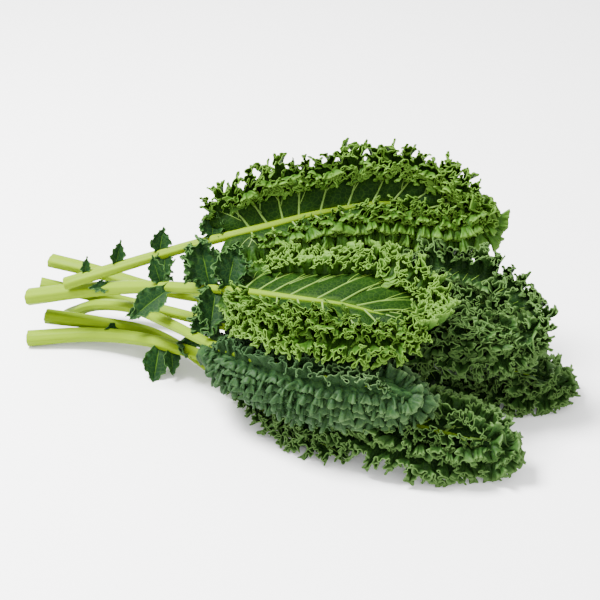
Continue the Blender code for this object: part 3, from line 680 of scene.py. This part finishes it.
def thin_piece(name, sheet, thickness, floor, material, grey_below=False):
    """A closed thin piece from a sheet, kept above the table, without the points that it doesn't use."""
    points, triangles = np.concatenate(sheet.pop("points")), np.concatenate(sheet.pop("triangles"))
    points[:, 2] = np.maximum(points[:, 2], floor)
    used = np.unique(triangles)
    renumber = np.zeros(len(points), int)
    renumber[used] = np.arange(len(used))
    solid, faces = thickened(points[used], renumber[triangles], thickness)
    marks = [(mark, np.tile(np.concatenate(values)[used], 2)) for mark, values in sheet.items()]
    if grey_below:
        marks.append(("underside", np.repeat([0.0, 1.0], len(used))))
    return new_piece(name, solid, faces.tolist(), material, marks)


def make_blade(name, blade):
    stalk, margin = STALKS[name], blade["margin"]
    random = np.random.default_rng(blade["seed"])
    places = even_places(stalk, blade, np.mean(margin["length"]))
    starts = margin_starts(blade, places)
    rim = panel_points(stalk, blade, places, starts)[0]
    run = steps_along(rim)
    veins = max(3, round(run[-1] / SIDE_VEIN_SPACING))
    VEIN_PLACES[name] = np.interp(np.linspace(0, run[-1], veins + 1), run, places)
    panel_rows, stride = blade.get("panel_rows", PANEL_ROWS), blade.get("panel_stride", PANEL_STRIDE)
    shares = np.linspace(0.0, 1.0, panel_rows)
    panel = [sheet_points(name, places, share * starts) for share in shares]
    outward, up = panel[-1][1:]
    rows = [points for points, _, _ in panel]
    puff = np.full((panel_rows + len(FRILL_OUTS), len(run)), EVEN_PUFF)
    if "blisters" in blade:
        columns = np.tile(run, (panel_rows, 1))
        across = shares[:, None] * (starts * blade_columns(stalk, blade, places)[3])[None]
        hanging = smooth_step(across, 0.010, 0.018) * (1 - smooth_step(places, 0.42, 0.55))[None]
        heights = ((1 - hanging) * blister_height(random, across, columns, BLISTER_SPACING)
                   + 1.25 * hanging * scale_height(random, across, columns)
                   + 0.22 * blister_height(random, across, columns, SMALL_BLISTER_SPACING))
        # The heights are kept as the puff mark too, which paints light on the blister tops and shade in the dents.
        puff[:panel_rows] = np.clip(heights, 0, 1.15)
        fade = np.sin(math.pi * np.clip(shares, 0.04, 0.97)) ** 0.4
        rows = [points + up_there * (blade["blisters"] * height * one)[:, None]
                for (points, _, up_there), height, one in zip(panel, heights, fade)]
    frontness = 1 - smooth_step(places, 0.40, 0.60)
    length = margin["length"][1] + (margin["length"][0] - margin["length"][1]) * frontness
    grows_over = margin.get("grows_over", MARGIN_GROWS_OVER)
    growth = 0.25 + 0.75 * smooth_step(np.minimum(run, run[-1] - run), 0.0, grows_over)
    start, front_end, tip_end, back_end = np.radians(margin["angles"])
    ends = front_end + (tip_end - front_end) * smooth_step(places, 0.38, 0.46)
    ends = ends + (back_end - tip_end) * smooth_step(places, 0.53, 0.64)
    rows += frill_rows(rim, outward, up, growth * length, (start, ends), blade, random, growth)
    frill_outs = np.array(FRILL_OUTS)
    sheet = new_sheet()
    # Outness also sets the painted shade: darkest over the sheet and at the frill's foot.
    add_rows(sheet, rows, [stride] * panel_rows + [min(size, stride) for size in FRILL_STRIDES],
             outness=np.concatenate([0.20 * shares, 0.20 + 0.80 * frill_outs]),
             edge=edge_marks(blade, places, len(rows)), vein=np.append(0.45, np.zeros(len(rows) - 1)), puff=puff)
    for share, turned, height, between in blade["rows"]:
        within = even_places(stalk, blade, np.mean(height), *between, share)
        foot, outward, up = sheet_points(name, within, share)
        run = steps_along(foot)
        growth = 0.15 + 0.85 * smooth_step(np.minimum(run, run[-1] - run), 0.0, ROW_GROWS_OVER)
        length = np.linspace(*np.broadcast_to(height, 2), len(run)) * growth
        angles = [math.radians(angle) for angle in turned]
        rows = [foot - up * ROW_SINK] + frill_rows(foot, outward, up, length, angles, blade, random)
        # Outness sets the painted shade here too, darkest at the row's foot.
        add_rows(sheet, rows, (PANEL_STRIDE, *FRILL_STRIDES),
                 outness=np.append(0.25, 0.25 + 0.75 * frill_outs), edge=edge_marks(blade, within, len(rows)),
                 vein=0.0, puff=EVEN_PUFF)
    skin = SKINS.get(name, dark_skin)
    piece = thin_piece(name + "_blade_fine", sheet, BLADE_THICKNESS, BLADE_FLOOR, skin, grey_below=True)
    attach(piece, "root")
    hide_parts(name + "_blade")


for leaf_name, blade in BLADES.items():
    make_blade(leaf_name, blade)


# The side veins. Pale round ribs branch off the midrib every couple of centimetres and run out
# through the sheet to the foot of the frill, and a thinner one forks off each on either side.
VEIN_RADIUS = 0.00105
VEIN_SIDES = 6
VEIN_LIFT = 0.00025
VEIN_SEED_SHIFT = 500
VEIN_COLOURS = (0.040, 0.105, 0.005), (0.105, 0.185, 0.018)
vein_flesh, tree, shader = new_material("vein_flesh")
place_of = tree.nodes.new("ShaderNodeTexCoord").outputs["Object"]
mottle = new_node(tree, "ShaderNodeTexNoise", Vector=place_of, Scale=220.0, Detail=3.0).outputs["Fac"]
set_inputs(tree, shader, Base_Color=mixed_colour(tree, mottle, *VEIN_COLOURS),
           Roughness=math_node(tree, "MULTIPLY_ADD", mottle, 0.2, 0.4), Specular_IOR_Level=0.3)

vein_tree = bpy.data.node_groups.new("round_veins", "GeometryNodeTree")
vein_tree.interface.new_socket("Geometry", in_out="INPUT", socket_type="NodeSocketGeometry")
thickness_socket = vein_tree.interface.new_socket("Thickness", in_out="INPUT", socket_type="NodeSocketFloat")
sides_socket = vein_tree.interface.new_socket("Sides", in_out="INPUT", socket_type="NodeSocketInt")
vein_tree.interface.new_socket("Geometry", in_out="OUTPUT", socket_type="NodeSocketGeometry")
given = vein_tree.nodes.new("NodeGroupInput").outputs
lines = new_node(vein_tree, "GeometryNodeMeshToCurve", Mesh=given["Geometry"])
thin = new_node(vein_tree, "GeometryNodeInputNamedAttribute", Name="thinning")
thin.data_type = "FLOAT"
ring = new_node(vein_tree, "GeometryNodeCurvePrimitiveCircle", Resolution=given["Sides"], Radius=1.0)
tubes = new_node(vein_tree, "GeometryNodeCurveToMesh", Curve=lines.outputs[0], Profile_Curve=ring.outputs[0],
                 Scale=math_node(vein_tree, "MULTIPLY", thin.outputs["Attribute"], given["Thickness"]), Fill_Caps=True)
real = new_node(vein_tree, "GeometryNodeRealizeInstances", Geometry=tubes.outputs[0])
coated = new_node(vein_tree, "GeometryNodeSetMaterial", Geometry=real.outputs[0], Material=vein_flesh)
new_node(vein_tree, "NodeGroupOutput", Geometry=coated.outputs[0])


def make_side_veins(name, blade):
    random = np.random.default_rng(blade["seed"] + VEIN_SEED_SHIFT)
    points, edges, thinning = [], [], []

    def add_vein(places, shares, radii):
        line, _, up = sheet_points(name, places, shares * margin_starts(blade, places))
        line = line + up * (VEIN_LIFT + 0.25 * VEIN_RADIUS * radii)[:, None]
        edges.extend((len(points) + k, len(points) + k + 1) for k in range(len(line) - 1))
        points.extend(line)
        thinning.extend(radii)

    places = VEIN_PLACES[name]
    for number, place in enumerate(places[1:-1], 1):
        gap = 0.5 * (places[number + 1] - places[number - 1])
        along = np.linspace(0, 1, 16)
        bend = gap * random.uniform(-0.12, 0.12) * np.sin(math.pi * along)
        add_vein(place + bend, 0.02 + 1.02 * along, 1.25 - 0.85 * along**0.7)
        for way in (-1, 1):
            begin = random.uniform(0.30, 0.55)
            along = np.linspace(0, 1, 9)
            width = gap * random.uniform(0.25, 0.38)
            add_vein(place + way * width * along**0.8, begin + (1.0 - begin) * along, 0.5 - 0.25 * along)
    mesh = bpy.data.meshes.new(name + "_vein_lines")
    mesh.from_pydata((np.array(points) - BUNCH_MIDDLE).tolist(), edges, [])
    mesh.attributes.new("thinning", "FLOAT", "POINT").data.foreach_set("value", np.asarray(thinning, np.float32))
    piece = bpy.data.objects.new(name + "_side_veins", mesh)
    bpy.context.scene.collection.objects.link(piece)
    grow = piece.modifiers.new("round_veins", "NODES")
    grow.node_group = vein_tree
    grow[thickness_socket.identifier] = VEIN_RADIUS
    grow[sides_socket.identifier] = VEIN_SIDES
    grown = bpy.data.meshes.new_from_object(piece.evaluated_get(bpy.context.evaluated_depsgraph_get()))
    piece.modifiers.clear()
    piece.data = grown
    grown.polygons.foreach_set("use_smooth", np.ones(len(grown.polygons), bool))
    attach(piece, "root")
    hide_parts(name + "_blade")


for leaf_name, blade in BLADES.items():
    if leaf_name != "puckered_leaf":
        make_side_veins(leaf_name, blade)


# The leaflets. Small dark blades grow straight on the stalks below the big ones, flat and toothed
# low down, frilled higher up, each folded a little along its own pale midrib.
LEAFLETS = {
    # A leaflet has its place on the stalk, the ways that it points and faces, its length and width, and
    # how frilled it is.
    "back_leaf": (
        (0.055, (0.05, 0.20, 0.98), (0.3, -0.9, 0.2), 0.014, 0.008, 0.2),
        (0.135, (0.15, 0.30, 0.95), (0.5, -0.8, 0.2), 0.021, 0.012, 0.2),
        (0.150, (0.95, 0.35, 0.38), (0.1, -0.6, 0.8), 0.019, 0.009, 0.1),
        (0.255, (0.05, 0.30, 0.95), (0.3, -0.9, 0.3), 0.021, 0.017, 0.4),
        (0.27, (0.25, -0.60, -0.50), (0.2, -0.8, 0.5), 0.020, 0.017, 0.9),
        (0.36, (0.20, -0.60, -0.50), (0.2, -0.8, 0.5), 0.026, 0.022, 1.0),
        (0.40, (-0.15, 0.45, 0.85), (0.3, -0.8, 0.4), 0.024, 0.020, 1.0)),
    "crown_leaf": (
        (0.245, (-0.85, -0.40, 0.10), (-0.1, -0.6, 0.8), 0.018, 0.011, 0.4),
        (0.385, (-0.35, 0.10, 0.90), (0.3, -0.9, 0.3), 0.024, 0.015, 0.2),
        (0.415, (-0.50, -0.75, -0.30), (0.2, -0.5, 0.85), 0.042, 0.024, 0.2),
        (0.535, (-0.35, 0.30, 0.80), (0.3, -0.8, 0.5), 0.042, 0.031, 1.0),
        (0.585, (0.0, 0.50, 0.80), (0.3, -0.8, 0.5), 0.038, 0.028, 1.0),
        (0.550, (0.30, -0.90, -0.40), (0.4, -0.5, 0.75), 0.040, 0.029, 1.0)),
    "puckered_leaf": (
        (0.29, (-0.50, -0.60, 0.10), (0.2, -0.6, 0.8), 0.013, 0.011, 0.3),
        (0.50, (0.30, 0.70, 0.60), (0.2, -0.7, 0.7), 0.028, 0.022, 1.0)),
    "right_leaf": (
        (0.27, (0.10, 0.50, 0.80), (0.2, -0.7, 0.7), 0.020, 0.016, 0.9),
        (0.34, (0.30, 0.60, 0.60), (0.2, -0.7, 0.7), 0.024, 0.018, 0.9),
        (0.40, (0.20, -0.85, -0.30), (0.2, -0.4, 0.9), 0.030, 0.024, 1.0),
        (0.44, (0.20, 0.75, 0.60), (0.2, -0.7, 0.7), 0.030, 0.024, 1.0),
        (0.50, (0.20, -0.85, -0.25), (0.2, -0.4, 0.9), 0.034, 0.028, 1.0),
        (0.52, (0.30, 0.70, 0.70), (0.2, -0.7, 0.7), 0.032, 0.026, 1.0)),
    "outer_leaf": (
        (0.36, (-0.10, -0.35, 0.90), (0.3, -0.9, 0.3), 0.026, 0.022, 1.0),
        (0.44, (0.10, -0.40, 0.90), (0.3, -0.9, 0.3), 0.034, 0.028, 1.0),
        (0.52, (0.20, -0.50, 0.80), (0.3, -0.8, 0.5), 0.036, 0.030, 1.0),
        (0.60, (0.20, -0.50, 0.80), (0.3, -0.8, 0.5), 0.034, 0.030, 1.0)),
    "under_leaf": (
        (0.22, (-0.30, -0.70, 0.25), (0.3, -0.5, 0.8), 0.012, 0.008, 0.1),
        (0.46, (0.20, -0.70, 0.55), (0.3, -0.6, 0.7), 0.026, 0.020, 1.0)),
    "floor_leaf": (
        (0.295, (0.20, -0.76, -0.45), (0.3, -0.5, 0.8), 0.035, 0.023, 0.1),
        (0.325, (0.40, -0.75, -0.45), (0.3, -0.5, 0.8), 0.023, 0.014, 0.1),
        (0.335, (0.90, 0.05, 0.35), (0.0, -0.6, 0.8), 0.022, 0.013, 0.2)),
}
LEAFLET_THICKNESS = 0.0006
LEAFLET_FLOOR = 0.0006
LEAFLET_STEP = 0.00040
LEAFLET_STRIDE = 8
LEAFLET_SHARES = (0.0, 0.08, 0.3, 0.65, 1.0)
LEAFLET_ANGLES = (0.1, 0.5)
LEAFLET_SAMPLES = 801
LEAFLET_SEED = 900
leaflet_skin = leaf_skin("leaflet_skin", (0.003, 0.016, 0.004), (0.016, 0.055, 0.010),
                         (0.055, 0.125, 0.026), (0.022, 0.060, 0.016))


def leaflet_rows(root, axis, face, length, width, frilled, random):
    """Rows of one leaflet from its midline to its frilled edge, run from its foot round its tip."""
    axis = unit(np.array(axis, float))
    face = unit(np.array(face, float) - (np.array(face, float) @ axis) * axis)
    across = np.cross(face, axis)
    frill = (0.10 + 0.16 * frilled) * width

    def rim_and_midline(place):
        at = np.where(place < 0.5, 2 * place, 2 - 2 * place)[:, None]
        side = np.where(place < 0.5, -1.0, 1.0)[:, None]
        lobes = (0.06 + 0.12 * frilled) * np.sin(2 * math.pi * 2.6 * at + 2 * side) * smooth_step(at, 0.15, 0.4)
        half = (0.10 + 0.42 * np.sin(math.pi * np.clip(at, 0, 1) ** 0.95) * smooth_step(at, 0.05, 0.45)) * (1 + lobes)
        half = (width - 1.4 * frill) * half * np.clip(1 - at**4, 0, 1) ** 0.8
        ahead = (length - frill) * at
        midline = root + axis * (0.94 * ahead) - face * 0.16 * length * at**2
        return root + axis * ahead + across * half * side + face * (0.30 * half - 0.16 * length * at**2), midline

    fine = np.linspace(0.0, 1.0, LEAFLET_SAMPLES)
    run = steps_along(rim_and_midline(fine)[0])
    count = LEAFLET_STRIDE * max(3, round(run[-1] / LEAFLET_STEP / LEAFLET_STRIDE))
    rim, midline = rim_and_midline(np.interp(np.linspace(0, run[-1], count + 1), run, fine))
    outward = unit(rim - midline + axis * 0.2 * width * np.linspace(0, 1, count + 1)[:, None])
    up = unit(np.cross(outward, unit(np.gradient(rim, axis=0))))
    up *= np.sign((up * face).sum(-1, keepdims=True))
    shape = dict(fold=0.003 + 0.15 * length, turns=(0.5 + 1.05 * frilled, 0.3 + 0.9 * frilled, 0.7 * frilled),
                 counts=(2.6, 2.2), tooth=0.0001 + 0.0007 * frilled)
    pointed = 1 - (0.9 - 0.7 * frilled) * smooth_step(1 - np.abs(np.linspace(-1, 1, count + 1)), 0.5, 0.95)
    edge_rows = frill_rows(rim, outward, up, frill * pointed, LEAFLET_ANGLES, shape, random)
    return [midline + (rim - midline) * share for share in LEAFLET_SHARES] + edge_rows


def make_leaflets(name, leaflets):
    stalk = STALKS[name]
    random = np.random.default_rng(LEAFLET_SEED + len(name))
    strides = [LEAFLET_STRIDE] * len(LEAFLET_SHARES) + list(FRILL_STRIDES)
    sheet = new_sheet()
    for share, axis, face, length, width, frilled in leaflets:
        root = along_points(stalk["route"], [share])[0]
        length += float(stalk_radius(stalk, [share])[0])
        rows = leaflet_rows(root, axis, face, length, width, frilled, random)
        # Outness sets the painted shade, darkest at the leaflet's midline.
        add_rows(sheet, rows, strides, outness=np.linspace(0, 1, len(rows)),
                 edge=np.append(np.zeros(len(rows) - len(EDGE_PALENESS)), EDGE_PALENESS),
                 vein=np.append(1.0, np.zeros(len(rows) - 1)), puff=EVEN_PUFF)
    piece = thin_piece(name + "_leaflets", sheet, LEAFLET_THICKNESS, LEAFLET_FLOOR, leaflet_skin)
    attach(piece, "root")
    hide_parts(name + "_stalk")


for leaf_name, leaflets in LEAFLETS.items():
    make_leaflets(leaf_name, leaflets)


# The table is a plain pale sheet under a soft white sky.
TABLE_SIZE = 6.0
TABLE_PAINT = (0.90, 0.90, 0.90)
SKY_COLOUR = (1.0, 1.0, 1.0)
SKY_STRENGTH = 2.0
bpy.ops.mesh.primitive_plane_add(size=TABLE_SIZE, location=(0, 0, 0))
table = bpy.context.object
table.name = "table"
table_paint, tree, shader = new_material("table_paint")
set_inputs(tree, shader, Base_Color=TABLE_PAINT, Roughness=0.5)
table.data.materials.append(table_paint)

world = bpy.data.worlds.new("studio")
bpy.context.scene.world = world
world.use_nodes = True
sky = world.node_tree
set_inputs(sky, sky.nodes["Background"], Color=SKY_COLOUR, Strength=SKY_STRENGTH)


# Two square lamps: a strong one high at the left, and a weak wide one at the front right. Both aim
# at the leaves.
LAMP_AIM = (0.05, 0.0, 0.05)


def add_lamp(name, place, size, power):
    lamp = bpy.data.objects.new(name, bpy.data.lights.new(name, "AREA"))
    lamp.data.size = size
    lamp.data.energy = power
    lamp.location = place
    lamp.rotation_euler = (Vector(LAMP_AIM) - Vector(place)).to_track_quat("-Z", "Y").to_euler()
    bpy.context.scene.collection.objects.link(lamp)


add_lamp("key_lamp", (-0.7, -0.1, 1.5), 0.6, 150.0)
add_lamp("fill_lamp", (1.0, -1.2, 1.1), 1.2, 16.0)


# The camera stands in front, a little to the right, and looks down 30 degrees through a long lens.
CAMERA_PLACE = (0.43047, -1.06546, 0.77)
CAMERA_AIM = (-0.00749, 0.01854, 0.095)
CAMERA_LENS = 99.51
camera = bpy.data.objects.new("camera", bpy.data.cameras.new("camera"))
bpy.context.scene.collection.objects.link(camera)
bpy.context.scene.camera = camera
camera.data.lens = CAMERA_LENS
camera.location = Vector(CAMERA_PLACE) - Vector(BUNCH_MIDDLE)
target = Vector(CAMERA_AIM) - Vector(BUNCH_MIDDLE)
camera.rotation_euler = (target - camera.location).to_track_quat("-Z", "Y").to_euler()
